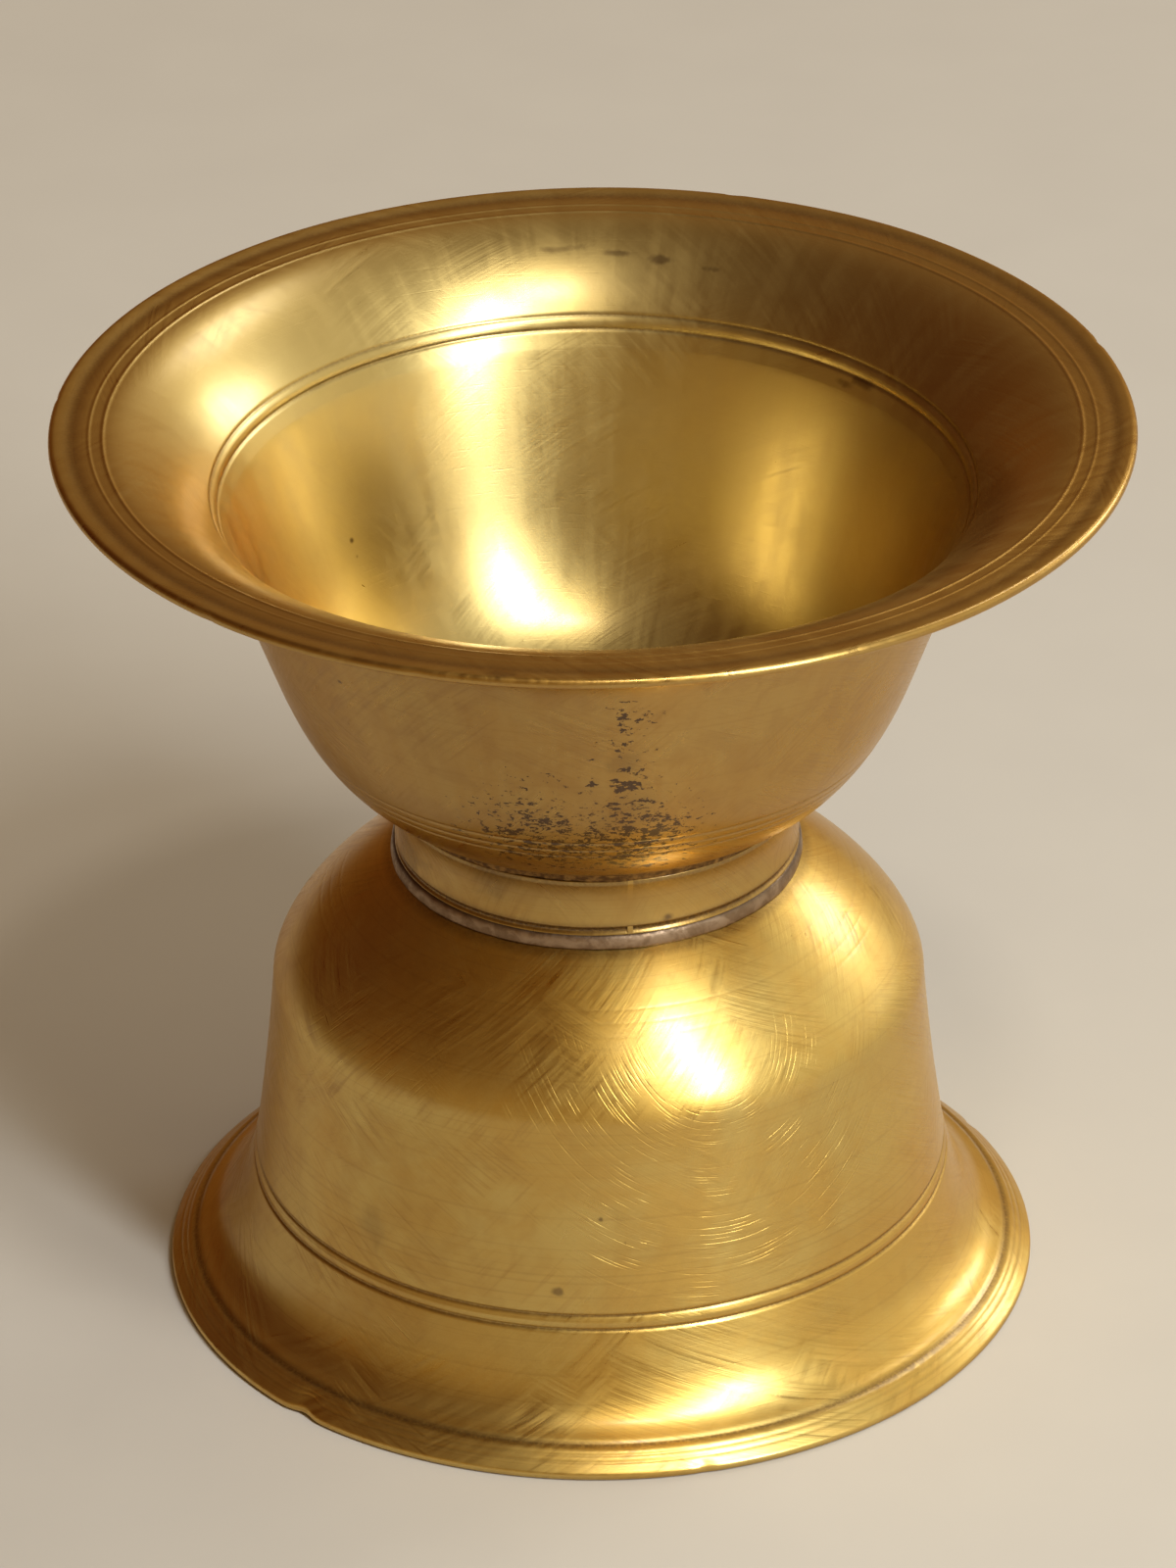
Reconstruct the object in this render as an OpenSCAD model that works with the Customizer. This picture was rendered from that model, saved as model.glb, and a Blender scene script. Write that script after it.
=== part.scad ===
// Brass diya: an oil bowl standing on a foot ring, soldered to an upturned bell-shaped base.
// Millimetres, +Z up. The origin is the centre of the circle that the foot stands on.

/* [Base bell] */
// Outside diameter of the foot
foot_d = 83.2; // [80:0.2:86]
// Diameter where the side meets the flared foot
waist_d = 66.2; // [64:0.2:68]
// Diameter at the shoulder
shoulder_d = 62; // [60:0.2:63]
// Height of the crown
bell_h = 46; // [44:0.5:49]
// Height of the flared foot
flare_h = 11.3; // [10:0.1:12.5]
// Wall thickness of the bell
bell_wall = 1.5; // [1.2:0.1:1.8]

/* [Foot ring] */
// Outside diameter of the ring between the bowls
ring_d = 38.1; // [36:0.1:40]
// How far the ring widens towards the bowl
ring_flare = 0.4; // [0:0.1:0.6]
// Thickness of the ring's strip
ring_wall = 1.6; // [1.2:0.1:2]
// Width of the brazed butt seam that closes the ring
seam_w = 0.5; // [0.3:0.1:0.8]
// Direction of the seam, measured round the axis
seam_angle = -81; // [-180:1:180]

/* [Oil bowl] */
// Outside diameter of the rim
rim_d = 100; // [96:1:104]
// Height of the bowl, from the middle of its underside to the rim
bowl_h = 39.6; // [38:0.2:42]
// Outside diameter of the belly
belly_d = 59.9; // [57:0.1:62]
// Outside diameter under the flared rim
throat_d = 70.5; // [68:0.5:73]
// Wall thickness of the bowl
bowl_wall = 1.6; // [1.3:0.1:1.9]
// Thickness of the rim's edge
lip_t = 1; // [0.8:0.1:1.2]
// Width of the nearly flat rim
flange_w = 5; // [4:0.5:6]

/* [Joints] */
// Gap between the crown of the bell and the underside of the bowl
crown_gap = 3.5; // [3:0.1:4.5]
// Height of the solder bead on the ring
solder_h = 1.1; // [0.8:0.1:1.6]
// Reach of the solder bead beyond the ring
solder_w = 0.5; // [0.3:0.1:0.9]
// Reach of the braze in the crease under the bowl
braze_w = 0.5; // [0.3:0.1:0.8]

/* [Turned lines] */
// Width of an engraved line
line_w = 0.45; // [0.3:0.05:0.6]
// Width of the groove that sets off the foot's edge
edge_groove_w = 0.7; // [0.5:0.05:0.9]
// Width of the fine raised line inside the rim
bead_w = 0.5; // [0.3:0.05:0.7]

/* [Hidden] */

$fn = 96;
steps = 14;
line_fn = 20;
seam_reach = 3;

foot_r = foot_d / 2;
waist_r = waist_d / 2;
shoulder_r = shoulder_d / 2;
shoulder_z = bell_h - 15;
waist_z = flare_h + 1.4;
ring_r = ring_d / 2;
ring_top_r = ring_r + ring_flare;
ring_bore_r = ring_r - ring_wall;
rim_r = rim_d / 2;
belly_r = belly_d / 2;
throat_r = throat_d / 2;
flange_r = rim_r - flange_w;
bowl_z = bell_h + crown_gap;
rim_z = bowl_z + bowl_h;
belly_z = bowl_z + 15.5;
throat_z = rim_z - 10.1;
edge_r = lip_t / 2;
foot_edge_r = 0.4;
foot_flat = 1.3;

// Point of a cubic Bezier curve, c being its four control points
function point(c, t) = pow(1 - t, 3) * c[0] + 3 * pow(1 - t, 2) * t * c[1]
    + 3 * (1 - t) * pow(t, 2) * c[2] + pow(t, 3) * c[3];
function curve(c) = [for (i = [0 : steps]) point(c, i / steps)];

// Unit normal on the right of a chain of points, and the chain moved along it
function right_of(v) = [v.y, -v.x] / norm(v);
function normal(p, i) = right_of(p[min(i + 1, len(p) - 1)] - p[max(i - 1, 0)]);
function inside(p, t) = [for (i = [0 : len(p) - 1]) p[i] + t * normal(p, i)];
function without_ends(p) = [for (i = [1 : len(p) - 2]) p[i]];
function backwards(p) = [for (i = [len(p) - 1 : -1 : 0]) p[i]];
function arc(c, r, from, to) = [for (i = [0 : 6]) c + r * [cos(from + (to - from) * i / 6),
                                                          sin(from + (to - from) * i / 6)]];

// The stretch of a chain between two radii, ending exactly on it
function between(p, r0, r1) = concat([[r0, lookup(r0, p)]],
    [for (q = p) if (q.x > r0 && q.x < r1) q], [[r1, lookup(r1, p)]]);

// Outside of the bell, from the axis out to the foot
crown_edge = [ring_r, bell_h - 1.8];
crown = [[0, bell_h], crown_edge + [-6, 1.8], crown_edge + [-3, 1.45], crown_edge];
shoulder = [crown_edge, crown_edge + [3.75, -1.8], [shoulder_r, shoulder_z + 4.5], [shoulder_r, shoulder_z]];
side = [[shoulder_r, shoulder_z], [shoulder_r + 0.4, shoulder_z - 6], [waist_r - 0.8, waist_z + 5.4],
        [waist_r, waist_z]];
flare_end = [foot_r - 2.3, 2.6];
flare = [[waist_r + 0.25, flare_h], [waist_r + 1.7, 7], [waist_r + 2.4, 3.4], flare_end];
crown_line = concat(curve(crown), without_ends(curve(shoulder)), [shoulder[3]]);

// Outside of the bowl, from the axis up to the rim
belly = [[0, bowl_z], [0.614 * belly_r, bowl_z], [belly_r - 4.9, bowl_z + 2.4], [belly_r, belly_z]];
wall = [[belly_r, belly_z], [belly_r + 1.85, belly_z + 5], [throat_r - 1.8, throat_z - 4.1], [throat_r, throat_z]];
under_rim = [[throat_r, throat_z], [throat_r + 2.4, throat_z + 5.3], [flange_r - 3, rim_z - 1.9],
             [rim_r - edge_r, rim_z - lip_t]];
belly_line = curve(belly);

// Inside of the rim
throat_in = [throat_r + 0.1, rim_z - 6.7];
flange_in = [flange_r, rim_z - 0.4];
over_rim = [throat_in, throat_in + [2.3, 2.8], flange_in - [3.5, 0.4], flange_in];

// The ring stands on the highest part of the crown that it reaches, and the bowl rests on it
ring_low = lookup(ring_bore_r, crown_line);
ring_high = lookup(ring_bore_r, belly_line);

module revolved(outline) {
    rotate_extrude() polygon(outline);
}

module turned_line(at, width) {
    rotate_extrude() translate(at) circle(d = width, $fn = line_fn);
}

module base_bell() {
    outside = concat(crown_line, curve(side), curve(flare));
    skin = inside(outside, bell_wall);
    hollow = [for (q = skin) if (q.x > 1) q];
    edge = foot_r - foot_edge_r;
    color("goldenrod") difference() {
        revolved(concat(outside,
            arc([edge, 0.95 - foot_edge_r], foot_edge_r, 60, 0),
            arc([edge, foot_edge_r], foot_edge_r, 0, -90),
            [[edge - foot_flat, 0]],
            backwards(hollow), [[0, bell_h - bell_wall]]));
        for (t = [0.37, 0.43, 0.49]) turned_line(point(shoulder, t), line_w);
        turned_line(side[3], line_w);
        turned_line(flare[0], line_w);
        turned_line(flare_end, edge_groove_w);
        for (s = [0.35, 0.62]) turned_line(flare_end + s * [2, -1.75], line_w);
    }
}

module lower_solder() {
    bead_r = ring_r + solder_w;
    foot_of_bead = [bead_r, lookup(bead_r, crown_line)];
    top_of_bead = [ring_r, ring_low + solder_h];
    corner = [ring_r + 0.2 * solder_w, foot_of_bead.y + 0.5];
    color("lightgray") revolved(concat(
        between(crown_line, ring_bore_r, bead_r),
        without_ends(curve([foot_of_bead, corner, corner, top_of_bead])),
        [top_of_bead, [ring_r, ring_low]]));
}

module ring_body() {
    waist = [ring_r - 0.25, (ring_low + ring_high) / 2];
    straight_top = [ring_top_r, ring_high - 0.4];
    straight_low = [ring_r, ring_low + solder_h];
    revolved(concat(
        [[ring_bore_r, ring_low], [ring_r, ring_low]],
        curve([straight_low, [waist.x, straight_low.y + 1.2], waist + [0, 1], straight_top]),
        [[ring_top_r, ring_high], [ring_bore_r, ring_high]]));
}

module seam_gap() {
    rotate(seam_angle) translate([ring_r - seam_reach, -seam_w / 2, ring_low - 1])
        cube([2 * seam_reach, seam_w, ring_high - ring_low + 2]);
}

module foot_ring() {
    color("darkgoldenrod") difference() {
        ring_body();
        seam_gap();
    }
}

module ring_seam() {
    color("peru") intersection() {
        ring_body();
        seam_gap();
    }
}

module upper_braze() {
    reach = ring_top_r + braze_w;
    color("saddlebrown") revolved(concat(
        [[ring_bore_r, ring_high], [ring_top_r, ring_high]],
        [[reach, lookup(reach, belly_line)]],
        backwards(without_ends(between(belly_line, ring_bore_r, reach)))));
}

module oil_bowl() {
    outside = concat(belly_line, curve(wall), curve(under_rim));
    skin = inside(concat(belly_line, curve(wall)), -bowl_wall);
    hollow = [for (q = skin) if (q.x > 1) q];
    color("gold") difference() {
        union() {
            revolved(concat(outside,
                arc([rim_r - edge_r, rim_z - edge_r], edge_r, -90, 90),
                backwards(curve(over_rim)),
                backwards(hollow), [[0, bowl_z + bowl_wall]]));
            turned_line(flange_in, bead_w);
        }
        for (t = [0.7875, 0.8225, 0.8575]) turned_line(point(belly, t), line_w);
        turned_line(throat_in, line_w);
        turned_line(throat_in - [0.6, 1.2], line_w);
        turned_line(flange_in + [1.3, 0.1], line_w / 2);
    }
}

base_bell();
lower_solder();
foot_ring();
ring_seam();
upper_braze();
oil_bowl();
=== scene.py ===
"""Looks for the brass diya: an oil bowl on a short ring, soldered to an upturned bell-shaped base.

Outlines are worked out in millimetres from the CAD nodes' boxes, then turned about the axis.
Angles round the lamp are counted from the front towards the right.
"""

import math

import bpy
import numpy as np
from mathutils import Matrix, Vector


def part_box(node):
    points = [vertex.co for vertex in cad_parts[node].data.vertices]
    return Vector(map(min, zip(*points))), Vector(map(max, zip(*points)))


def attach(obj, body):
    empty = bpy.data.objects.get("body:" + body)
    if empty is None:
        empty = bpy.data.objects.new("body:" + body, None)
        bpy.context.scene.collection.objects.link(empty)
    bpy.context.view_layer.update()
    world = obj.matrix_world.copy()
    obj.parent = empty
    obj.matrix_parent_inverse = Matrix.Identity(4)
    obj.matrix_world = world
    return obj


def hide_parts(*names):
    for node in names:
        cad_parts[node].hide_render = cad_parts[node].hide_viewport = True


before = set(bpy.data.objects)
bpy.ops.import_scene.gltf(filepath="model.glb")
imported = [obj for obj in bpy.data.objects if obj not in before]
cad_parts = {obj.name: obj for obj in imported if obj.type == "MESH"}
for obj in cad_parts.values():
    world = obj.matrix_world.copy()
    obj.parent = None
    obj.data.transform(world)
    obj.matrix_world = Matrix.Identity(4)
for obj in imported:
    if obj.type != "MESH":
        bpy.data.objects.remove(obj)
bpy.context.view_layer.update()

MM = 0.001
SHELL_POINTS = 480  # round the bell and the bowl
RING_POINTS = 360  # round the ring and its joints

# ---------------------------------------------------------------- sizes, from the CAD nodes


def node_box(name):
    """A CAD node's lowest and highest corners, in millimetres."""
    low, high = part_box(name)
    return low / MM, high / MM


bell_high = node_box("base_bell")[1]
bowl_low, bowl_high = node_box("oil_bowl")
ring_low, ring_high = node_box("foot_ring")

FOOT_R = bell_high.x
BELL_H = bell_high.z
WAIST_R = FOOT_R - 8.5
SHOULDER_R = FOOT_R - 10.6
SHOULDER_Z = BELL_H - 15
WAIST_Z = 12.7
FLARE_Z = 11.3
BELL_WALL = 1.5

RIM_R = bowl_high.x
RIM_Z = bowl_high.z
BOWL_Z = bowl_low.z
BELLY_R = RIM_R - 20.05
BELLY_Z = BOWL_Z + 15.5
THROAT_R = RIM_R - 14.75
THROAT_Z = RIM_Z - 10.1
FLANGE_R = RIM_R - 5
BOWL_WALL = 1.6
LIP_T = 1.0

RING_FLARE = 0.4
RING_R = ring_high.x - RING_FLARE
RING_WALL = 1.6
SOLDER_H = 1.1
RING_LOW = ring_low.z
RING_HIGH = ring_high.z
SEAM_ANGLE = 9
SEAM_HALF_ANGLE = 0.75

# ---------------------------------------------------------------- outlines


def bezier(a, b, c, d, count=200):
    """Points of a cubic Bezier curve."""
    t = np.linspace(0, 1, count)[:, None]
    a, b, c, d = (np.array(p, float) for p in (a, b, c, d))
    return (1 - t) ** 3 * a + 3 * (1 - t) ** 2 * t * b + 3 * (1 - t) * t**2 * c + t**3 * d


def arc(centre, radius, start, end, count=40):
    """Points of an arc, from one angle to another in degrees."""
    a = np.radians(np.linspace(start, end, count))
    return np.array(centre) + radius * np.stack([np.cos(a), np.sin(a)], 1)


def chain(*lines):
    """One line from several, with straight stretches filled in and repeated points dropped."""
    points = np.vstack([np.array(line, float) for line in lines])
    step = np.hypot(*np.diff(points, axis=0).T)
    points = points[np.concatenate([[True], step > 1e-4])]
    length = np.concatenate([[0], np.cumsum(np.hypot(*np.diff(points, axis=0).T))])
    fine = np.linspace(0, length[-1], int(length[-1] / 0.03) + 2)
    return np.stack([np.interp(fine, length, points[:, k]) for k in (0, 1)], 1)


def left_normals(line):
    """Unit vectors on the left of a line that runs from the axis outwards."""
    way = np.gradient(line, axis=0)
    way /= np.maximum(np.hypot(way[:, 0], way[:, 1]), 1e-9)[:, None]
    return np.stack([-way[:, 1], way[:, 0]], 1)


def turned_lines(line, cuts):
    """Cuts grooves (a depth over 0) and raises beads (under 0) on the left side of a line.

    A cut is (point, width, depth). Gives the new line, how deep each point lies in a groove,
    and how close it is to a cut.
    """
    length = np.concatenate([[0], np.cumsum(np.hypot(*np.diff(line, axis=0).T))])
    move = np.zeros(len(line))
    dirt_and_shade = np.zeros(len(line))
    near = np.full(len(line), 99.0)
    for point, width, depth in cuts:
        at = length[np.hypot(*(line - np.array(point)).T).argmin()]
        away = np.abs(length - at) / width
        shape = np.exp(-((2.1 * away) ** 2))
        move -= depth * shape
        if depth > 0:
            dirt_and_shade = np.maximum(dirt_and_shade, shape * min(0.75, depth / 0.19))
        near = np.minimum(near, np.abs(length - at))
    return line + move[:, None] * left_normals(line), dirt_and_shade, near


def thin_out(line, dirt_and_shade, near, widest=0.75, finest=0.085):
    """Keeps few points where a line is plain and many where it is cut or bends."""
    length = np.hypot(*np.diff(line, axis=0).T)
    way = np.unwrap(np.arctan2(*np.diff(line, axis=0).T[::-1]))
    bend = np.abs(np.gradient(np.convolve(way, np.ones(5) / 5, "same"))) / length
    spacing = np.clip(finest + 0.3 * np.maximum(near[1:] - 0.5, 0), finest, widest)
    spacing = np.minimum(spacing, np.maximum(0.09 / np.maximum(bend, 1e-6), finest))
    count = np.concatenate([[0], np.cumsum(length / spacing)])
    at = np.linspace(0, count[-1], int(count[-1]) + 2)
    pick = [np.interp(at, count, v) for v in (line[:, 0], line[:, 1], dirt_and_shade)]
    return np.stack(pick[:2], 1), pick[2]


def crown_curves():
    """The bell's outline from the axis to the ring, and from the ring to the shoulder."""
    edge = np.array((RING_R, BELL_H - 1.8))
    crown = bezier((0, BELL_H), edge + (-6, 1.8), edge + (-3, 1.45), edge)
    shoulder = bezier(edge, edge + (3.75, -1.8),
                      (SHOULDER_R, SHOULDER_Z + 4.5), (SHOULDER_R, SHOULDER_Z))
    return crown, shoulder


def belly_curve():
    """The bowl's outline from the axis to the belly."""
    return bezier((0, BOWL_Z), (0.614 * BELLY_R, BOWL_Z),
                  (BELLY_R - 4.9, BOWL_Z + 2.4), (BELLY_R, BELLY_Z))


def inner_skin(outside, wall):
    """An outline moved by a wall's thickness to its left, without the tangle on the axis."""
    skin = outside + wall * left_normals(outside)
    return skin[skin[:, 0] > 0.4]


# ---------------------------------------------------------------- meshes


def spot(angle, radius, height):
    """A place on the lamp, from an angle in degrees, a radius and a height."""
    a = math.radians(angle)
    return (radius * math.sin(a), -radius * math.cos(a), height)


def round_axis(points):
    """Each point's distance from the axis, its angle, and its way straight out from the axis."""
    x, y = points.T[:2]
    angle = np.arctan2(x, -y)
    return np.hypot(x, y), angle, np.stack([np.sin(angle), -np.cos(angle)], 1)


def pushed_out(way, out, up):
    """Moves that go a distance out from the axis and a distance up."""
    return np.column_stack([way * out[:, None], up])


def hand_made(points):
    """The small unevenness of hand-finished metal, in millimetres, the same on both faces of a wall.

    The constant parts keep it inside the CAD model's box.
    """
    x, y, z = points.T
    radius, angle, way = round_axis(points)
    out = 0.030 * np.sin(2 * angle + 0.7) * np.clip(z / 60, 0, 1)
    out += 0.018 * np.sin(3 * angle + 0.11 * z + 1.0) + 0.012 * np.sin(5 * angle - 0.17 * z)
    out += 0.008 * np.sin(9 * angle + 0.31 * z + 2.0) + 0.006 * np.sin(0.55 * z + 4 * angle)
    out -= 0.075
    up = 0.020 * np.sin(0.21 * x + 0.9) * np.sin(0.19 * y - 0.4) - 0.02
    rim = np.clip((radius - RIM_R + 9) / 9, 0, 1) ** 2
    up += rim * (0.07 * np.sin(2 * angle + 1.9) + 0.04 * np.sin(3 * angle) - 0.11)
    lifted = np.clip((z - 2) / 8, 0, 1)
    share = np.clip(radius / 12, 0, 1)
    return pushed_out(way, out * share, up * lifted)


def nick(points, angle, radius, height, size, push):
    """A knock on an edge: points near it move by push, a vector of outwards and upwards parts."""
    centre = np.array(spot(angle, radius, height))
    move = np.array(spot(angle, *push))
    share = np.exp(-((np.linalg.norm(points - centre, axis=1) / size) ** 2))
    return share[:, None] * move


def turned_points(line, around):
    """Turns an outline about the axis. Gives each row's first number and count, and the points."""
    turn = np.linspace(0, 2 * np.pi, around, endpoint=False)
    rows = []
    points = []
    count = 0
    for radius, height in line:
        if radius < 1e-3:
            row = np.array([[0, 0, height]])
        else:
            row = np.stack([radius * np.sin(turn), -radius * np.cos(turn), np.full(around, height)], 1)
        rows.append((count, len(row)))
        points.append(row)
        count += len(row)
    return rows, np.vstack(points)


def turned_faces(rows, around, closed):
    """Faces between each row and the next, and from the last to the first in a closed outline."""
    faces = []
    next_rows = rows[1:] + rows[:1] if closed else rows[1:]
    for (first, many), (second, others) in zip(rows, next_rows):
        for j in range(around):
            k = (j + 1) % around
            if many == 1:
                faces.append((first, second + j, second + k))
            elif others == 1:
                faces.append((first + j, second, first + k))
            else:
                faces.append((first + j, second + j, second + k, first + k))
    return faces


def turned_mesh(name, line, dirt_and_shade, knocks=(), around=SHELL_POINTS, uneven=hand_made, closed=False):
    """Turns an outline about the axis into a mesh, with its grime and painted shade kept as a point
    attribute.

    An open outline starts and ends on the axis; a closed one makes a ring.
    """
    rows, points = turned_points(line, around)
    soil_and_shade = np.repeat(dirt_and_shade, [many for first, many in rows])
    moved = points + (uneven(points) if uneven else 0)
    for knock in knocks:
        moved = moved + nick(points, *knock)
    moved[:, 2] = np.maximum(moved[:, 2], 0)
    mesh = bpy.data.meshes.new(name)
    mesh.from_pydata((moved * MM).tolist(), [], turned_faces(rows, around, closed))
    mesh.shade_smooth()
    mesh.attributes.new("dirt_and_shade", "FLOAT", "POINT").data.foreach_set("value", soil_and_shade.astype(np.float32))
    mesh.update()
    piece = bpy.data.objects.new(name, mesh)
    bpy.context.scene.collection.objects.link(piece)
    return piece


def stand_for(piece, node, material):
    """Puts a piece in a CAD node's place, with its finish."""
    piece.data.materials.append(material)
    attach(piece, "root")
    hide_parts(node)


# ---------------------------------------------------------------- node graphs


class Graph:
    """Short calls that build the nodes of a material or a world."""

    def __init__(self, owner):
        owner.use_nodes = True
        self.owner = owner
        self.nodes = owner.node_tree.nodes
        self.links = owner.node_tree.links
        self.nodes.clear()
        self.places = self.nodes.new("ShaderNodeTexCoord").outputs

    def millimetres(self):
        """The place on the object, in millimetres."""
        return self.vector("SCALE", self.places["Object"], scale=1 / MM)

    def put(self, socket, value):
        """Sets an input to a number or links it to another node's output."""
        if hasattr(value, "is_linked"):
            self.links.new(value, socket)
        else:
            socket.default_value = value

    def math(self, kind, a, b=0.0, c=0.0):
        node = self.nodes.new("ShaderNodeMath")
        node.operation = kind
        for socket, value in zip(node.inputs, (a, b, c)):
            self.put(socket, value)
        return node.outputs[0]

    def product(self, first, *others):
        """Multiplies numbers."""
        for value in others:
            first = self.math("MULTIPLY", first, value)
        return first

    def vector(self, kind, a, b=(0.0, 0.0, 0.0), scale=1.0):
        node = self.nodes.new("ShaderNodeVectorMath")
        node.operation = kind
        self.put(node.inputs[0], a)
        if kind == "SCALE":
            self.put(node.inputs["Scale"], scale)
        elif len(node.inputs) > 1:
            self.put(node.inputs[1], b)
        return node.outputs["Value" if kind in ("LENGTH", "DISTANCE", "DOT_PRODUCT") else "Vector"]

    def twist(self, vector, angle):
        """Turns a vector about the lamp's axis."""
        node = self.nodes.new("ShaderNodeVectorRotate")
        node.rotation_type = "Z_AXIS"
        self.put(node.inputs["Vector"], vector)
        self.put(node.inputs["Angle"], angle)
        return node.outputs[0]

    def join(self, x, y, z):
        node = self.nodes.new("ShaderNodeCombineXYZ")
        for socket, value in zip(node.inputs, (x, y, z)):
            self.put(socket, value)
        return node.outputs[0]

    def split(self, vector):
        node = self.nodes.new("ShaderNodeSeparateXYZ")
        self.put(node.inputs[0], vector)
        return node.outputs

    def noise(self, vector, scale, detail=3.0, roughness=0.55, distortion=0.0):
        node = self.nodes.new("ShaderNodeTexNoise")
        values = (("Vector", vector), ("Scale", scale), ("Detail", detail),
                  ("Roughness", roughness), ("Distortion", distortion))
        for name, value in values:
            self.put(node.inputs[name], value)
        return node.outputs["Fac"]

    def span(self, value, low, high, out_low=0.0, out_high=1.0):
        """Smoothly maps low..high to out_low..out_high, and holds the ends."""
        node = self.nodes.new("ShaderNodeMapRange")
        node.interpolation_type = "SMOOTHSTEP"
        for name, item in zip(("Value", "From Min", "From Max", "To Min", "To Max"),
                              (value, low, high, out_low, out_high)):
            self.put(node.inputs[name], item)
        return node.outputs["Result"]

    def blend(self, share, a, b):
        node = self.nodes.new("ShaderNodeMix")
        node.data_type = "RGBA"
        self.put(node.inputs["Factor"], share)
        for name, value in (("A", a), ("B", b)):
            socket = [s for s in node.inputs if s.name == name and s.type == "RGBA"][0]
            self.put(socket, value if hasattr(value, "is_linked") else (*value, 1.0))
        return [s for s in node.outputs if s.type == "RGBA"][0]

    def bump(self, height, depth, normal=None):
        """Raises the surface by depth millimetres where height is 1."""
        node = self.nodes.new("ShaderNodeBump")
        self.put(node.inputs["Height"], height)
        node.inputs["Distance"].default_value = depth * MM
        if normal is not None:
            self.put(node.inputs["Normal"], normal)
        return node.outputs[0]

    def attribute(self, name):
        node = self.nodes.new("ShaderNodeAttribute")
        node.attribute_name = name
        return node.outputs["Fac"]

    def end(self, shader, output):
        """Ends the graph with a shader that goes to an output of the given kind."""
        self.links.new(shader.outputs[0], self.nodes.new(output).inputs[0])

    def finish(self, **inputs):
        """Ends the graph with a Principled shader whose inputs are given by name. Gives the material."""
        shader = self.nodes.new("ShaderNodeBsdfPrincipled")
        for name, value in inputs.items():
            self.put(shader.inputs[name.replace("_", " ")], value)
        self.end(shader, "ShaderNodeOutputMaterial")
        return self.owner


def material_graph(name):
    """An empty graph of a new material."""
    return Graph(bpy.data.materials.new(name))


# ---------------------------------------------------------------- brass

CLEAN = (0.63, 0.450, 0.128)
WARM = (0.58, 0.365, 0.078)
DULL = (0.31, 0.155, 0.030)
INSIDE = (0.54, 0.425, 0.165)
# Dark brown, for tarnish and also for painted shade and painted shadow.
TARNISH_AND_SHADE = (0.085, 0.040, 0.015)
CASTING_PIT = (0.050, 0.019, 0.009)
EDGE_TINT = (0.90, 0.62, 0.30, 1.0)


class Place:
    """Where a point of the surface lies and how it faces, as node outputs, in millimetres."""

    def __init__(self, g):
        self.mm = g.millimetres()
        x, y, self.z = g.split(self.mm)[:3]
        flat = g.join(x, y, 0.0)
        self.radius = g.vector("LENGTH", flat)
        self.way = g.vector("NORMALIZE", flat)
        self.facing = g.places["Normal"]
        self.outward = g.vector("DOT_PRODUCT", self.facing, self.way)


def scratches(g, mm, angle, radius, height, inner, outer):
    """Short fine strokes along arcs under a centre, from an inner to an outer reach.

    The angle also makes each place's strokes differ.
    """
    a = math.radians(angle)
    off = g.vector("SUBTRACT", mm, spot(angle, radius, height))
    across = g.vector("DOT_PRODUCT", off, (math.cos(a), math.sin(a), 0.0))
    depth = g.vector("DOT_PRODUCT", off, (math.sin(a), -math.cos(a), 0.0))
    rise = g.split(off)[2]
    across_squared = g.math("MULTIPLY", across, across)
    away = g.math("SQRT", g.math("MULTIPLY_ADD", rise, rise, across_squared))
    turn = g.math("ARCTAN2", across, g.math("MULTIPLY", rise, -1.0))

    sway = g.math("MULTIPLY", g.noise(mm, scale=0.10, detail=1.0), 1.5)
    outwards = g.math("MULTIPLY_ADD", away, 4.3, sway)
    line = g.join(outwards, g.math("MULTIPLY", turn, 1.9), angle)
    strokes = g.span(g.noise(line, scale=1.0, detail=1.0, roughness=0.5), 0.53, 0.68)

    side_on = g.span(g.math("ABSOLUTE", turn), 1.75, 1.0)
    from_inner = g.span(away, inner * 0.7, inner * 1.3)
    to_outer = g.span(away, outer, outer * 0.75)
    patchy = g.span(g.noise(mm, scale=0.17, detail=3.0, roughness=0.6), 0.40, 0.60, 0.15, 1.0)
    on_this_side = g.span(depth, -18.0, -14.0)
    return g.product(strokes, side_on, from_inner, to_outer, patchy, on_this_side)


def one_wiping(g, at, run, slope, fine):
    """Streaks left by a cloth that went slantwise round the lamp. About 0 on average."""
    turned = g.twist(at.way, g.math("MULTIPLY", run, slope))
    lengthwise = g.join(0.0, 0.0, g.math("MULTIPLY", run, 0.14))
    line = g.vector("ADD", g.vector("SCALE", turned, scale=fine), lengthwise)
    return g.math("SUBTRACT", g.noise(line, scale=1.0, detail=3.0, roughness=0.62), 0.5)


def wiping(g, at, rise):
    """Wiping streaks in one of two directions from patch to patch, fainter in places and inside."""
    run = g.math("MULTIPLY_ADD", at.radius, rise, at.z)
    choice = g.span(g.noise(at.mm, scale=0.06, detail=2.0), 0.46, 0.54)
    one_way = g.product(one_wiping(g, at, run, 0.045, 58.0), choice)
    other_way = g.product(one_wiping(g, at, run, -0.022, 44.0), g.math("SUBTRACT", 1.0, choice))
    patchy = g.span(g.noise(at.mm, scale=0.11, detail=3.0), 0.42, 0.58, 0.35, 1.0)
    outside = g.span(at.outward, -0.5, 0.3, 0.35, 1.0)
    return g.product(g.math("ADD", one_way, other_way), patchy, outside)


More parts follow.
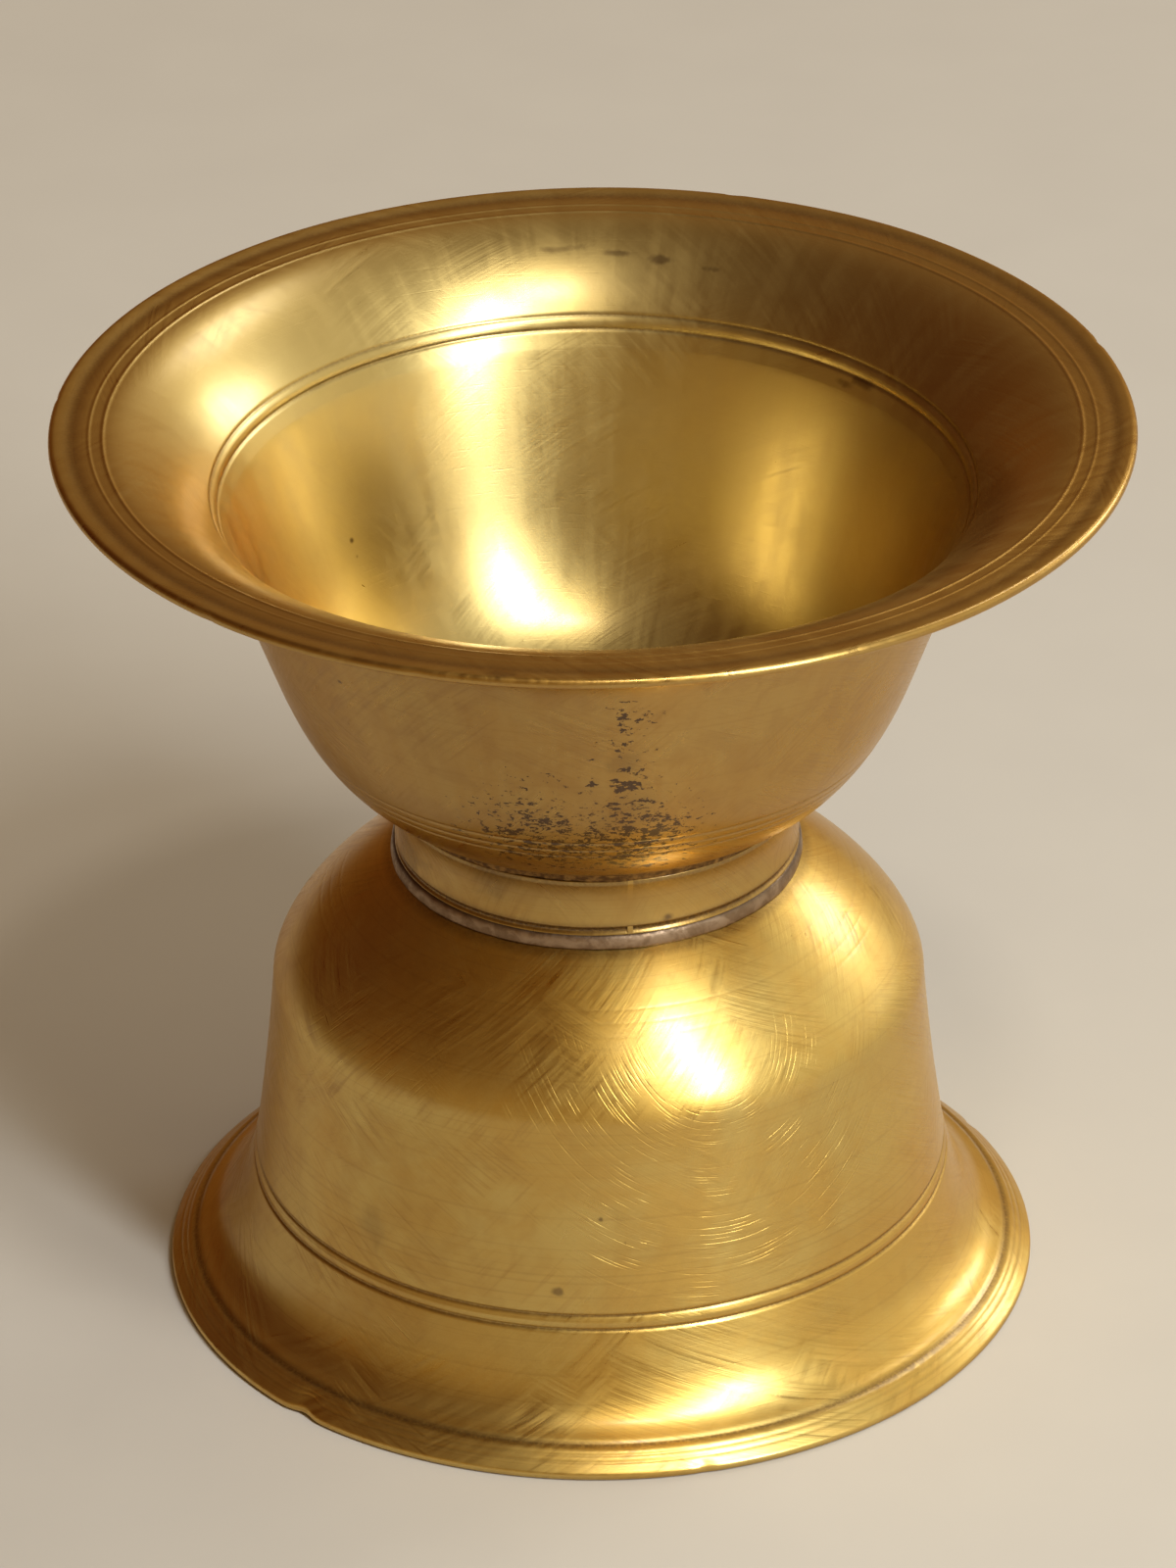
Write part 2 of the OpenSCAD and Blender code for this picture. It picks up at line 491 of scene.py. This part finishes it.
def pitting(g, mm, angle, radius, height, size, grain, share):
    """Ragged casting pits, thickest at a place and thinning out to size millimetres from it."""
    flattened = g.vector("MULTIPLY", mm, (1.0, 1.0, 0.75))
    away = g.vector("DISTANCE", flattened, spot(angle, radius, height * 0.75))
    there = g.product(g.span(away, size, 0.0), share)
    tall = g.vector("MULTIPLY", mm, (0.75, 0.75, 1.25))
    rough = g.noise(tall, scale=grain, detail=4.0, roughness=0.72, distortion=0.2)
    holes = g.span(g.math("MULTIPLY_ADD", there, 0.16, rough), 0.650, 0.675)
    return g.product(holes, g.span(there, 0.0, 0.06))


def all_pitting(g, at, pits):
    """The pits round all places, on the outside only."""
    holes = 0.0
    for pit in pits:
        holes = g.math("MAXIMUM", holes, pitting(g, at.mm, *pit))
    return g.product(holes, g.span(at.outward, -0.1, 0.1))


def stain_or_shadow(g, mm, mottle, colour, angle, radius, height, size, strength, stretch):
    """A brown mark with a ragged edge, stretched round the lamp, used for spots of tarnish and for
    painted shadow.
    """
    off = g.vector("SUBTRACT", mm, spot(angle, radius, height))
    a = math.radians(angle)
    tangent = (math.cos(a), math.sin(a), 0.0)
    shortened = g.product(g.vector("DOT_PRODUCT", off, tangent), 1 / stretch - 1)
    away = g.vector("LENGTH", g.vector("ADD", off, g.vector("SCALE", tangent, scale=shortened)))
    ragged = g.math("MULTIPLY_ADD", g.math("SUBTRACT", mottle, 0.5), size * 2.4, away)
    patch = g.span(ragged, size, size * 0.2)
    return g.blend(g.product(patch, strength), colour, TARNISH_AND_SHADE)


def rubbed_inside(g, at, colour, pale):
    """Rubs a face that looks towards the axis to a paler, greener tone."""
    return g.blend(g.span(at.outward, 0.0, -0.4, 0.0, pale), colour, INSIDE)


def flange_patina_and_shade(g, at, colour, patina_and_shade):
    """Browns the top of a flange outside the throat, up to its edge: partly tarnish, partly painted
    shade that dims the lights' reflection there.
    """
    face_up = g.span(g.vector("DOT_PRODUCT", at.facing, (0.0, 0.0, 1.0)), 0.35, 0.75)
    flange = g.span(at.radius, THROAT_R + 1, THROAT_R + 9, 0.0, patina_and_shade)
    edge = g.span(at.radius, RIM_R - 1.7, RIM_R - 1.0, 1.0, 0.0)
    return g.blend(g.product(face_up, flange, edge), colour, DULL)


def brass(name, polish, shade, rings, waves=0.03, wipe=(34.0, 0.16), rise=1.0,
          swirls=(), pits=(), stains_and_shadows=(), pale=0.0, patina_and_shade=0.0):
    """Worn hand-polished brass, with turned lines, wiping streaks and fine scratches.

    Polish is the roughness, shade how dull it is, and rings and waves how far the turned lines
    and the dents stand out. Wipe is the scale of the colour's streaks round the lamp and
    upwards. Rise is 1 where the outline widens upwards and -1 where it narrows. Swirls, pits
    and brown marks are places with arcs of scratches, casting pits, and spots of tarnish and,
    on the ring, painted shadow. Pale rubs the inside, and the flange's browning darkens the top
    of the flange, partly as tarnish and partly as painted shade.
    """
    g = material_graph(name)
    at = Place(g)
    mm = at.mm
    along = g.join(at.radius, at.z, 0.0)
    upwards = g.join(0.0, 0.0, at.z)
    streak_round = g.vector("SCALE", at.way, scale=wipe[0])
    streak_at = g.vector("ADD", streak_round, g.vector("SCALE", upwards, scale=wipe[1]))
    hair_round = g.vector("SCALE", at.way, scale=9.0)
    hair_at = g.vector("ADD", hair_round, g.vector("SCALE", along, scale=3.6))

    cloud = g.noise(mm, scale=0.050, detail=5.0, roughness=0.62, distortion=0.6)
    mottle = g.noise(mm, scale=0.30, detail=4.0, roughness=0.58, distortion=0.5)
    streak = g.noise(streak_at, scale=0.42, detail=4.0, roughness=0.6, distortion=0.3)
    lathe = g.noise(along, scale=2.6, detail=4.0, roughness=0.7)
    fine = g.noise(mm, scale=3.2, detail=3.0, roughness=0.6)
    wiped = wiping(g, at, rise)
    # The point attribute holds grime in the grooves and painted shade in the creases between parts.
    soiled_and_shaded = g.product(g.attribute("dirt_and_shade"), g.span(fine, 0.30, 0.62, 0.55, 0.95))
    hair = g.noise(hair_at, scale=1.0, detail=2.0, roughness=0.6)
    scratch = g.span(hair, 0.58, 0.72, 0.0, 0.18)
    for swirl in swirls:
        scratch = g.math("MAXIMUM", scratch, scratches(g, mm, *swirl))

    warmth = g.math("MULTIPLY_ADD", cloud, 0.65, g.product(streak, 0.35))
    colour = g.blend(g.span(warmth, 0.38, 0.62), CLEAN, WARM)
    colour = g.blend(g.span(mottle, 0.46, 0.64, shade, shade + 0.10), colour, DULL)
    colour = g.blend(g.span(lathe, 0.52, 0.68, 0.0, 0.22), colour, DULL)
    colour = g.blend(g.span(wiped, 0.0, 0.14, 0.0, 0.17), colour, DULL)
    if pale:
        colour = rubbed_inside(g, at, colour, pale)
    if patina_and_shade:
        colour = flange_patina_and_shade(g, at, colour, patina_and_shade)
    for stain_or_shadow_place in stains_and_shadows:
        colour = stain_or_shadow(g, mm, mottle, colour, *stain_or_shadow_place)

    rough = g.math("MULTIPLY_ADD", mottle, 0.12, polish - 0.06)
    rough = g.math("MULTIPLY_ADD", g.span(streak, 0.42, 0.60), 0.05, rough)
    rough = g.math("MULTIPLY_ADD", wiped, 0.7, rough)

    normal = g.bump(g.product(lathe, rings), 0.006)
    normal = g.bump(g.noise(mm, scale=0.14, detail=2.0, roughness=0.5), waves, normal)
    normal = g.bump(fine, 0.003, normal)
    normal = g.bump(wiped, 0.026, normal)
    normal = g.bump(g.math("SUBTRACT", 1.0, scratch), 0.020, normal)

    if pits:
        hole = all_pitting(g, at, pits)
        colour = g.blend(g.product(hole, 0.88), colour, CASTING_PIT)
        rough = g.math("MAXIMUM", rough, g.product(hole, 0.6))
        normal = g.bump(g.math("SUBTRACT", 1.0, hole), 0.09, normal)
    # Darkens with that grime and painted shade.
    colour = g.blend(soiled_and_shaded, colour, TARNISH_AND_SHADE)
    rough = g.math("MAXIMUM", rough, g.product(soiled_and_shaded, 0.6))
    return g.finish(Base_Color=colour, Metallic=1.0, Roughness=rough, Normal=normal,
                    Specular_Tint=EDGE_TINT, Anisotropic=0.35, Anisotropic_Rotation=0.25,
                    Coat_Weight=0.7, Coat_Roughness=0.22)


# ---------------------------------------------------------------- solder and braze

SOLDER_DARK = (0.24, 0.155, 0.090)
SOLDER_LIGHT = (0.36, 0.250, 0.160)
# Dark grey, painted shade at the top of the bead where it tucks under the ring.
SOLDER_CREASE_SHADE = (0.06, 0.04, 0.03)
BRAZE_DARK = (0.11, 0.055, 0.02)
BRAZE_LIGHT = (0.34, 0.19, 0.06)


def solder_metal():
    """Soft grey solder, smeared in lumps of darker and lighter warm grey."""
    g = material_graph("solder")
    mm = g.millimetres()
    lumps = g.noise(mm, scale=0.45, detail=4.0, roughness=0.6, distortion=0.8)
    grain = g.noise(mm, scale=2.4, detail=3.0, roughness=0.6)
    colour = g.blend(g.span(lumps, 0.42, 0.62), SOLDER_DARK, SOLDER_LIGHT)
    # Painted shade: darker at the top of the bead, under the ring.
    colour = g.blend(g.product(g.attribute("dirt_and_shade"), 0.9), colour, SOLDER_CREASE_SHADE)
    rough = g.span(grain, 0.3, 0.7, 0.38, 0.58)
    normal = g.bump(lumps, 0.05)
    normal = g.bump(grain, 0.02, normal)
    return g.finish(Base_Color=colour, Metallic=1.0, Roughness=rough, Normal=normal)


def braze_metal():
    """Rough dark brazing metal in the crease under the bowl."""
    g = material_graph("braze")
    mm = g.millimetres()
    grain = g.noise(mm, scale=1.3, detail=4.0, roughness=0.65)
    colour = g.blend(g.span(grain, 0.40, 0.65), BRAZE_DARK, BRAZE_LIGHT)
    rough = g.span(grain, 0.3, 0.7, 0.45, 0.65)
    return g.finish(Base_Color=colour, Metallic=0.9, Roughness=rough, Normal=g.bump(grain, 0.08))


# ---------------------------------------------------------------- base bell


def bell_section():
    """The bell's section, its outside first and then its inside, with its grime and painted shade."""
    crown, shoulder = crown_curves()
    side = bezier((SHOULDER_R, SHOULDER_Z), (SHOULDER_R + 0.4, SHOULDER_Z - 6),
                  (WAIST_R - 0.8, WAIST_Z + 5.4), (WAIST_R, WAIST_Z))
    flare_end = np.array((FOOT_R - 2.3, 2.6))
    flare = bezier((WAIST_R + 0.25, FLARE_Z), (WAIST_R + 1.7, 7), (WAIST_R + 2.4, 3.4), flare_end)
    edge = FOOT_R - 0.42
    lip = arc((edge, 0.55), 0.4, 60, 0)
    lip_under = arc((edge, 0.42), 0.4, 0, -90)

    shoulder_lines = [(shoulder[int(len(shoulder) * t)], 0.34, 0.009) for t in (0.37, 0.43, 0.49)]
    waist_lines = [(side[-1], 0.40, 0.13), ((WAIST_R + 0.12, 12.0), 0.55, -0.07),
                   (flare[0], 0.40, 0.13)]
    edge_lines = [(flare_end + (2 * t, -1.75 * t), 0.34, 0.035) for t in (0.40, 0.66)]
    cuts = shoulder_lines + waist_lines + [(flare_end, 0.90, 0.22)] + edge_lines
    outside, dirt_and_shade, near = turned_lines(chain(crown, shoulder, side, flare, lip), cuts)

    skin = inner_skin(chain(crown, shoulder, side, flare), -BELL_WALL)
    inside = chain(lip_under, [(edge - 1.3, 0.02)], skin[::-1], [(0, BELL_H - BELL_WALL)])
    # The inside is darkened evenly.
    dirt_and_shade = np.concatenate([dirt_and_shade, np.full(len(inside), 0.25)])
    near = np.concatenate([near, np.full(len(inside), 9.0)])
    line, dirt_and_shade = thin_out(np.vstack([outside, inside]), dirt_and_shade, near)
    line[0, 0] = line[-1, 0] = 0
    # Painted shade: the crown is darkened in a band round the foot of the ring, by the solder.
    on_top = line[:, 1] > BELL_H - 2.6
    crease = np.exp(-((line[:, 0] - RING_R - 0.5) / 0.8) ** 2) * on_top
    return line, np.maximum(dirt_and_shade, 0.5 * crease)


def build_base_bell():
    line, dirt_and_shade = bell_section()
    # Each knock: angle, radius, height, size, push outwards and upwards.
    knocks = [(-43, FOOT_R - 0.6, 1.0, 1.3, (-0.65, 0.3)), (13, FOOT_R, 0.8, 0.7, (-0.2, 0)),
              (2, 31.8, 22.3, 0.6, (-0.12, 0)), (118, FOOT_R, 0.6, 0.9, (-0.2, 0)),
              (-160, FOOT_R, 0.8, 0.8, (-0.2, 0))]
    piece = turned_mesh("base_bell_shell", line, dirt_and_shade, knocks)
    # Each swirl: angle, radius and height of its centre, inner and outer reach.
    swirls = [(22, 30, 39, 7, 30), (-75, 30, 40, 8, 26), (120, 30, 38, 8, 28), (-150, 31, 40, 6, 26)]
    # Each stain: angle, radius, height, size, strength, stretch round the lamp.
    stains_and_shadows = [(-41, 32.4, 17.5, 3.0, 0.22, 0.7), (-7, 32.7, 15.1, 0.5, 0.6, 1.4),
              (0, 31.8, 22.5, 0.36, 0.7, 0.9), (4, 32.1, 20.0, 0.45, 0.6, 0.5),
              (15, 21.7, 41.7, 0.9, 0.5, 1.6)]
    material = brass("bell_brass", polish=0.37, shade=0.05, rings=0.8, waves=0.05, wipe=(9.0, 0.5),
                     rise=-1.0, swirls=swirls, stains_and_shadows=stains_and_shadows)
    stand_for(piece, "base_bell", material)


# ---------------------------------------------------------------- oil bowl


def bowl_section():
    """The bowl's section, its inside first and then its outside, with its grime and painted shade."""
    belly = belly_curve()
    wall = bezier((BELLY_R, BELLY_Z), (BELLY_R + 1.85, BELLY_Z + 5),
                  (THROAT_R - 1.8, THROAT_Z - 4.1), (THROAT_R, THROAT_Z))
    lip_r = LIP_T / 2
    edge_r = RIM_R - lip_r
    under_rim = bezier((THROAT_R, THROAT_Z), (THROAT_R + 2.4, THROAT_Z + 5.3),
                       (FLANGE_R - 3, RIM_Z - 1.9), (edge_r, RIM_Z - LIP_T))
    edge = arc((edge_r, RIM_Z - lip_r), lip_r, -90, 90)
    throat_in = np.array((THROAT_R + 0.1, RIM_Z - 6.7))
    flange_in = np.array((FLANGE_R, RIM_Z - 0.4))
    over_rim = bezier(throat_in, throat_in + (2.3, 2.8), flange_in - (3.5, 0.4), flange_in)

    outside = chain(belly, wall, under_rim, edge)[::-1]
    belly_lines = [(belly[int(len(belly) * t)], 0.36, 0.06) for t in (0.7875, 0.8225, 0.8575)]
    outside, outside_dirt, outside_near = turned_lines(outside, belly_lines)

    skin = inner_skin(chain(belly, wall), BOWL_WALL)
    skin = skin[skin[:, 1] < throat_in[1] - 1.4]
    inside = chain([(0, BOWL_Z + BOWL_WALL)], skin, over_rim, [(edge_r - 0.1, RIM_Z)])
    throat_lines = [(throat_in, 0.40, 0.10), (throat_in - (0.6, 1.2), 0.40, 0.10),
                    (throat_in - (0.3, 0.6), 0.6, -0.05)]
    flange_lines = [(flange_in, 0.34, -0.07), (flange_in + (1.3, 0.1), 0.28, -0.05),
                    (flange_in + (3.0, 0.25), 1.5, 0.09)]
    inside, inside_dirt, inside_near = turned_lines(inside, throat_lines + flange_lines)

    dirt_and_shade = np.concatenate([inside_dirt, outside_dirt])
    near = np.concatenate([inside_near, outside_near])
    line, dirt_and_shade = thin_out(np.vstack([inside, outside]), dirt_and_shade, near)
    line[0, 0] = line[-1, 0] = 0
    # Painted shade: the bowl's underside is darkened round the top of the ring, in the crease over the
    # braze.
    crease = np.exp(-((line[:, 0] - RING_R - 0.3) / 1.0) ** 2) * (line[:, 1] < BOWL_Z + 4)
    under = line[:, 1] < BOWL_Z + 0.9 * line[:, 0] / RING_R + 1.9
    return line, np.maximum(dirt_and_shade, 0.8 * crease * under)


def build_oil_bowl():
    line, dirt_and_shade = bowl_section()
    # Each knock: angle, radius, height, size, push outwards and upwards.
    knocks = [(108, RIM_R, RIM_Z - 0.4, 0.6, (-0.2, -0.05)), (-43, RIM_R, RIM_Z - 0.6, 0.6, (-0.15, 0)),
              (-18, RIM_R, RIM_Z - 0.5, 0.8, (-0.12, 0)), (-97, RIM_R, RIM_Z - 0.4, 0.5, (-0.12, 0)),
              (164, RIM_R, RIM_Z - 0.3, 0.6, (-0.15, -0.05))]
    piece = turned_mesh("oil_bowl_shell", line, dirt_and_shade, knocks)
    # The swirl: angle, radius and height of its centre, inner and outer reach.
    swirls = [(60, 30, 78, 6, 24)]
    # Each patch of pits: angle, radius, height, size, grain, share.
    pits = [(-2, 27.6, 59.8, 6.0, 1.7, 0.9), (7, 27.4, 59.5, 9.0, 1.5, 1.1),
            (6, 28.3, 62.5, 5.5, 1.1, 0.8), (-12, 28.0, 59.8, 10.0, 1.6, 0.95),
            (4.5, 30.4, 67.0, 4.2, 0.8, 0.95), (4.5, 32.0, 71.5, 3.6, 0.8, 0.95),
            (5, 33.8, 76.5, 3.6, 1.0, 0.8), (12, 28.4, 62.5, 2.8, 0.9, 1.0)]
    # Each stain: angle, radius, height, size, strength, stretch round the lamp.
    stains_and_shadows = [(-176, 40.4, 87.1, 0.55, 0.5, 5.0), (176, 40.0, 86.6, 0.5, 0.55, 4.0),
              (170, 39.6, 86.3, 0.6, 0.6, 3.5), (132, 34.5, 80.9, 0.6, 0.6, 3.0),
              (136, 34.2, 80.2, 0.5, 0.5, 3.0), (163, 39.2, 86.0, 0.4, 0.4, 3.0),
              (-128, 29.1, 67.4, 0.42, 0.9, 1.0), (-128, 28.6, 65.8, 0.34, 0.6, 1.0),
              (-43, 33.8, 75.4, 0.4, 0.9, 1.0), (-45, 31.7, 69.8, 0.35, 0.8, 1.0),
              (-9, 49.0, 89.0, 0.9, 0.5, 2.5), (6, 29.4, 64.5, 4.5, 0.2, 1.0),
              (4.5, 31.8, 71.0, 2.2, 0.25, 1.0)]
    # The flange's browning is partly tarnish and partly painted shade that dims the lights' reflection
    # there.
    material = brass("bowl_brass", polish=0.33, shade=0.60, rings=0.5, waves=0.02,
                     swirls=swirls, pits=pits, stains_and_shadows=stains_and_shadows, pale=0.72, patina_and_shade=0.24)
    stand_for(piece, "oil_bowl", material)


# ---------------------------------------------------------------- ring and joints


def ring_outline():
    """The ring's section: a strip that widens upwards, with a crease above the solder."""
    low = RING_LOW + SOLDER_H
    middle = (RING_LOW + RING_HIGH) / 2
    top_r = RING_R + RING_FLARE
    bore = RING_R - RING_WALL
    face = bezier((RING_R, low + 0.3), (RING_R - 0.25, low + 1.4),
                  (RING_R - 0.25, middle + 1), (top_r, RING_HIGH - 0.4))
    crease = [(RING_R, RING_LOW), (RING_R, low - 0.5),
              (RING_R - 0.22, low - 0.2), (RING_R - 0.16, low + 0.12)]
    section = chain(crease, face, [(top_r, RING_HIGH), (bore, RING_HIGH), (bore, RING_LOW)])
    return section[::4]


def build_foot_ring():
    section = ring_outline()
    outer = section[:, 0] > RING_R - 0.4
    # Painted shade: darker in the crease above the solder and along the top under the bowl; the bore is
    # darkened evenly.
    over_crease = np.abs(section[:, 1] - RING_LOW - SOLDER_H)
    under_bowl = np.abs(section[:, 1] - RING_HIGH)
    dirt_and_shade = np.exp(-((over_crease / 0.42) ** 2)) + 0.55 * np.exp(-((under_bowl / 1.3) ** 2))
    dirt_and_shade = np.where(outer, dirt_and_shade, 0.6)
    piece = turned_mesh("foot_ring_strip", section, dirt_and_shade, around=RING_POINTS, uneven=None, closed=True)
    cut_gap(piece, math.radians(SEAM_ANGLE), math.radians(SEAM_HALF_ANGLE))
    # Each brown mark: angle, radius, height, size, strength, stretch round the lamp.
    # The first is a real mark at the ring's lower edge; the two big ones at -70 and -30 are painted
    # shadow, the bowl's shade on the ring's left and top.
    stains_and_shadows = [(20, 18.9, 46.6, 0.5, 0.8, 1.5), (-70, 19.0, 47.0, 5.0, 0.5, 1.0),
              (-30, 19.0, 51.0, 4.0, 0.3, 1.0)]
    material = brass("ring_brass", polish=0.36, shade=0.45, rings=1.0, wipe=(9.0, 0.5), stains_and_shadows=stains_and_shadows)
    stand_for(piece, "foot_ring", material)
    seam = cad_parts["ring_seam"].data.materials
    seam.clear()
    seam.append(material)


def cut_gap(piece, at, half):
    """Moves the ring's points out of the seam, so that the strip's two ends face each other."""
    for vertex in piece.data.vertices:
        x, y, z = vertex.co
        angle = math.atan2(x, -y)
        off = angle - at
        if abs(off) < 3 * half:
            pushed = at + math.copysign(half + (abs(off) * 2 / 3), off if off else 1)
            radius = math.hypot(x, y)
            vertex.co = (radius * math.sin(pushed), -radius * math.cos(pushed), z)


def build_lower_solder():
    crown, shoulder = crown_curves()
    bell = chain(crown, shoulder)
    bead_r = RING_R + 0.34
    under = bell[(bell[:, 0] > RING_R - RING_WALL) & (bell[:, 0] < bead_r)]
    top = (RING_R - 0.15, RING_LOW + SOLDER_H - 0.5)
    bulge = [under[-1] + (0.08, 0.45), (RING_R + 0.25, top[1] + 0.05)]
    section = chain(under, bezier(under[-1], *bulge, top), [(RING_R - 0.15, RING_LOW)], [under[0]])[::4]
    # Painted shade: the top of the bead is darkened where it tucks under the ring.
    dirt_and_shade = 0.8 * np.exp(-(((section[:, 1] - top[1]) / 0.30) ** 2))

    def lumpy(points):
        radius, angle, way = round_axis(points)
        outer = np.clip((radius - RING_R) / 0.4, 0, 1)
        swell = 0.05 * np.sin(3 * angle + 0.5) + 0.04 * np.sin(7 * angle + 1)
        swell += 0.03 * np.sin(13 * angle) + 0.02 * np.sin(29 * angle + 2)
        blob = 0.12 * np.exp(-(((angle + 1.0) / 0.5) ** 2))
        out = outer * (swell + blob)
        return pushed_out(way, out, out * 0.5)

    piece = turned_mesh("solder_bead", section, dirt_and_shade, around=RING_POINTS, uneven=lumpy, closed=True)
    stand_for(piece, "lower_solder", solder_metal())


def build_upper_braze():
    belly = belly_curve()
    reach = RING_R + RING_FLARE + 0.3
    over = belly[(belly[:, 0] > RING_R - RING_WALL) & (belly[:, 0] < reach)]
    section = chain([(RING_R - RING_WALL, RING_HIGH), (RING_R + RING_FLARE, RING_HIGH)], over[::-1])[::4]

    def lumpy(points):
        radius, angle, way = round_axis(points)
        outer = np.clip((radius - RING_R + 0.1) / 0.4, 0, 1)
        swell = 0.08 * np.sin(5 * angle) + 0.06 * np.sin(11 * angle + 1) + 0.04 * np.sin(23 * angle)
        return pushed_out(way, outer * swell, np.zeros(len(points)))

    piece = turned_mesh("upper_braze_crease", section, np.full(len(section), 0.3),
                        around=RING_POINTS, uneven=lumpy, closed=True)
    stand_for(piece, "upper_braze", braze_metal())


# ---------------------------------------------------------------- floor, light and camera

FLOOR_DARK = (0.50, 0.455, 0.395)
FLOOR_LIGHT = (0.53, 0.485, 0.42)
FLOOR_HALF = 4.0
LAMP_MIDDLE = Vector((0, 0, 0.05))


def build_floor():
    """A plain pale floor under the lamp."""
    mesh = bpy.data.meshes.new("floor")
    corners = [(x * FLOOR_HALF, y * FLOOR_HALF, 0) for x, y in ((-1, -1), (1, -1), (1, 1), (-1, 1))]
    mesh.from_pydata(corners, [], [(0, 1, 2, 3)])
    floor = bpy.data.objects.new("floor", mesh)
    bpy.context.scene.collection.objects.link(floor)
    g = material_graph("floor")
    grain = g.noise(g.places["Object"], scale=60.0, detail=3.0, roughness=0.5)
    colour = g.blend(grain, FLOOR_DARK, FLOOR_LIGHT)
    mesh.materials.append(g.finish(Base_Color=colour, Roughness=0.75))


def direction(azimuth, elevation):
    """A way from the lamp. Azimuth is counted from the camera's side towards the right."""
    e = math.radians(elevation)
    return Vector(spot(azimuth, math.cos(e), math.sin(e)))


def light(name, azimuth, elevation, width, height, power, colour):
    """A soft light a metre away that faces the lamp, with its size in metres and power in watts."""
    data = bpy.data.lights.new(name, "AREA")
    data.shape = "RECTANGLE"
    data.size = width
    data.size_y = height
    data.energy = power
    data.color = colour
    lamp = bpy.data.objects.new(name, data)
    lamp.location = LAMP_MIDDLE + direction(azimuth, elevation)
    lamp.rotation_euler = (LAMP_MIDDLE - lamp.location).to_track_quat("-Z", "Y").to_euler()
    lamp.visible_camera = False
    bpy.context.scene.collection.objects.link(lamp)


def build_lights():
    light("window", 39, 41, 0.12, 0.78, 11.0, (0.88, 0.95, 1.0))
    light("back_window", 128, 24, 0.28, 0.22, 1.7, (0.92, 0.97, 1.0))
    light("rear_window", 145, 45, 0.25, 0.25, 1.0, (0.94, 0.98, 1.0))
    light("lamp", 11, 55, 0.08, 0.08, 0.28, (1.0, 0.80, 0.36))
    light("skylight", 20, 68, 0.09, 0.09, 1.5, (1.0, 0.94, 0.84))


# Name, azimuth, elevation, sharpness and colour of each glow in the room round the lamp.
GLOWS = [
    ("back_wall", -160, 6, 14, (0.18, 0.07, 0.015)),
    ("back_left", -120, 6, 14, (0.07, 0.01, 0.004)),
    ("left", -80, 6, 14, (0.26, 0.13, 0.035)),
    ("front_left", -40, 8, 14, (0.44, 0.28, 0.10)),
    ("front", 0, 8, 14, (0.46, 0.31, 0.13)),
    ("front_right", 40, 6, 14, (0.52, 0.39, 0.20)),
    ("right", 80, 6, 14, (0.82, 0.72, 0.48)),
    ("back_right", 118, 8, 14, (1.55, 1.45, 1.15)),
    ("behind", 160, 6, 14, (0.42, 0.24, 0.07)),
    ("high_back_left", -150, 42, 10, (0.13, 0.05, 0.015)),
    ("high_left", -90, 42, 10, (0.09, 0.035, 0.012)),
    ("high_front_left", -30, 42, 10, (0.17, 0.09, 0.03)),
    ("high_front_right", 30, 42, 10, (0.34, 0.26, 0.14)),
    ("high_right", 90, 42, 10, (0.72, 0.64, 0.46)),
    ("high_back_right", 150, 42, 10, (0.62, 0.48, 0.26)),
    ("ceiling", 0, 88, 8, (0.17, 0.11, 0.05)),
]


def build_world():
    """A room of broad soft glows: pale on the right, warm and dim on the left."""
    world = bpy.data.worlds.new("room")
    bpy.context.scene.world = world
    g = Graph(world)
    total = (0.0, 0.0, 0.0)
    for name, azimuth, elevation, sharpness, colour in GLOWS:
        facing = g.vector("DOT_PRODUCT", g.places["Generated"], direction(azimuth, elevation))
        fall = g.math("POWER", g.math("MAXIMUM", facing, 0.0), sharpness)
        glow = g.vector("MULTIPLY", fall, colour)
        glow.node.name = name
        total = g.vector("ADD", total, glow)
    back = g.nodes.new("ShaderNodeBackground")
    g.put(back.inputs["Color"], total)
    g.end(back, "ShaderNodeOutputWorld")


# The camera's distance from the point that it is aimed at and that point's height, in metres,
# its elevation in degrees, its lens, and how far it is turned off that point and rolled.
CAMERA_DISTANCE = 0.7827
CAMERA_AIM = 0.05715
CAMERA_ELEVATION = 29.004
CAMERA_SENSOR = 36
CAMERA_LENS = 192.1815
CAMERA_PAN = 0.058
CAMERA_TILT = -0.410
CAMERA_ROLL = -0.597


def turned(degrees, axis):
    """A rotation about one of the camera's own axes."""
    return Matrix.Rotation(math.radians(degrees), 3, axis)


def build_camera():
    """Looks at the lamp from the front and above."""
    data = bpy.data.cameras.new("camera")
    data.sensor_width = CAMERA_SENSOR
    data.lens = CAMERA_LENS
    data.clip_end = 20
    camera = bpy.data.objects.new("camera", data)
    aim = Vector((0, 0, CAMERA_AIM))
    place = aim + CAMERA_DISTANCE * direction(0, CAMERA_ELEVATION)
    look = (aim - place).to_track_quat("-Z", "Y").to_matrix()
    look = look @ turned(CAMERA_PAN, "Y") @ turned(CAMERA_TILT, "X") @ turned(CAMERA_ROLL, "Z")
    camera.matrix_world = Matrix.Translation(place) @ look.to_4x4()
    bpy.context.scene.collection.objects.link(camera)
    bpy.context.scene.camera = camera


build_camera()
build_world()
build_lights()
build_floor()
build_base_bell()
build_oil_bowl()
build_foot_ring()
build_lower_solder()
build_upper_braze()
bpy.context.scene.view_settings.view_transform = "Standard"
